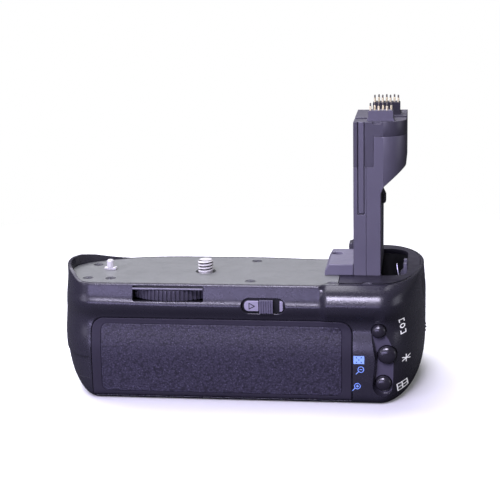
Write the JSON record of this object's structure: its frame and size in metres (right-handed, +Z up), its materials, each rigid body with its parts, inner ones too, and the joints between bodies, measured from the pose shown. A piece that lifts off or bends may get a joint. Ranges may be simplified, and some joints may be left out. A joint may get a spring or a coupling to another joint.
{
  "type": "camera battery grip",
  "caption": "Battery grip for a camera: grip housing with a sliding cell magazine, an attachment screw turned by a thumb dial, and a contact post.",
  "frame": {"origin": "centre of the footprint, on the ground under the base plate", "axes": "+X along the grip from the horn's end to the shutter's end, +Y from the thumb side to the finger side, +Z up the contact post"},
  "size_m": [0.1497, 0.0774, 0.1178],
  "materials": {
    "housing": "fine grained black plastic with a slight violet tint",
    "plate": "finely grained dark grey plate",
    "post": "smooth satin dark grey plastic",
    "rubber": "fine leather grain",
    "control": "satin black plastic",
    "trim": "satin dark grey plastic",
    "slide": "silver grey satin",
    "steel": "polished steel",
    "screws": "zinc plated steel",
    "brass": "gold plated brass",
    "tray": "dull black plastic",
    "board": "green circuit board"
  },
  "bodies": {
    "root": {"rear_housing": "housing", "front_housing": "housing", "top_plate": "plate", "post_base_plate": "plate", "cover_well": "tray", "well_spring_clip": "steel", "cover_hooks": "trim", "base_plate": "tray", "tripod_socket": "steel", "base_screws": "screws", "top_screws": "screws", "raised_pad": "plate", "pad_screw": "screws", "post_left_shell": "post", "post_right_shell": "post", "post_cap": "post", "post_guide_rail": "post", "post_board": "board", "post_gusset": "trim", "back_connector": "post", "front_connector": "post", "dial_post": "steel", "screw_bush": "steel", "locating_pin": "steel", "magazine_bay": "tray", "bay_terminals": "brass", "release_plate": "slide", "button_board": "board", "front_grip_rubber": "rubber", "shutter_collar": "trim", "control_dial_axle": "steel", "main_board": "board", "end_trim": "trim"},
    "magazine": {"magazine_cover": "housing", "magazine_rubber": "rubber", "magazine_tray": "tray", "cell_plates": "brass", "cell_springs": "steel", "tray_terminals": "brass"},
    "release": {"release_knob": "slide", "release_bar": "control"},
    "dial": {"attachment_dial": "control"},
    "screw": {"camera_screw": "steel", "screw_pinion": "brass"},
    "latch": {"post_latch": "control"},
    "back_pin_set": {"back_pins": "brass"},
    "front_pin_set": {"front_pins": "brass"},
    "upper": {"upper_button": "control"},
    "middle": {"middle_button": "control"},
    "lower": {"lower_button": "control"},
    "shutter": {"shutter_button": "control"},
    "function": {"function_button": "control"},
    "control": {"control_dial": "control"},
    "switch": {"power_switch": "trim"}
  },
  "joints": [
    {"name": "magazine_slide", "type": "slide", "parent": "root", "child": "magazine", "axis": [0, -1, 0], "range_m": [0, 0.052]},
    {"name": "release_slide", "type": "slide", "parent": "root", "child": "release", "axis": [1, 0, 0], "range_m": [0, 0.0024], "stiffness_N_per_m": 300},
    {"name": "dial_turn", "type": "hinge", "parent": "root", "child": "dial", "pos_m": [-0.02669, -0.0147, 0.0435], "axis": [0, 0, 1], "continuous": true},
    {"name": "screw_turn", "type": "hinge", "parent": "root", "child": "screw", "pos_m": [-0.015, -0.012, 0.0435], "axis": [0, 0, 1], "continuous": true},
    {"name": "latch_press", "type": "slide", "parent": "root", "child": "latch", "axis": [-1, 0, 0], "range_m": [0, 0.0012], "stiffness_N_per_m": 300},
    {"name": "back_pins_press", "type": "slide", "parent": "root", "child": "back_pin_set", "axis": [0, 0, -1], "range_m": [0, 0.0014], "stiffness_N_per_m": 300},
    {"name": "front_pins_press", "type": "slide", "parent": "root", "child": "front_pin_set", "axis": [0, 0, -1], "range_m": [0, 0.0014], "stiffness_N_per_m": 300},
    {"name": "upper_press", "type": "slide", "parent": "root", "child": "upper", "axis": [0, 1, 0], "range_m": [0, 0.0009], "stiffness_N_per_m": 400},
    {"name": "middle_press", "type": "slide", "parent": "root", "child": "middle", "axis": [0, 1, 0], "range_m": [0, 0.0009], "stiffness_N_per_m": 400},
    {"name": "lower_press", "type": "slide", "parent": "root", "child": "lower", "axis": [0, 1, 0], "range_m": [0, 0.0009], "stiffness_N_per_m": 400},
    {"name": "shutter_press", "type": "slide", "parent": "root", "child": "shutter", "axis": [-0.6592, -0.752, 0], "range_m": [0, 0.0012], "stiffness_N_per_m": 400},
    {"name": "function_press", "type": "slide", "parent": "root", "child": "function", "axis": [-0.1678, -0.9858, 0], "range_m": [0, 0.0008], "stiffness_N_per_m": 400},
    {"name": "control_turn", "type": "hinge", "parent": "root", "child": "control", "pos_m": [0.06572, 0.01709, 0.017], "axis": [0.2156, -0.9765, 0], "continuous": true},
    {"name": "switch_turn", "type": "hinge", "parent": "root", "child": "switch", "pos_m": [0.0465, 0.037, 0.012], "axis": [0, 1, 0], "range_deg": [0, 40]}
  ],
  "couplings": [
    {"joint": "screw_turn", "follows": "dial_turn", "ratio": 3.5}
  ]
}
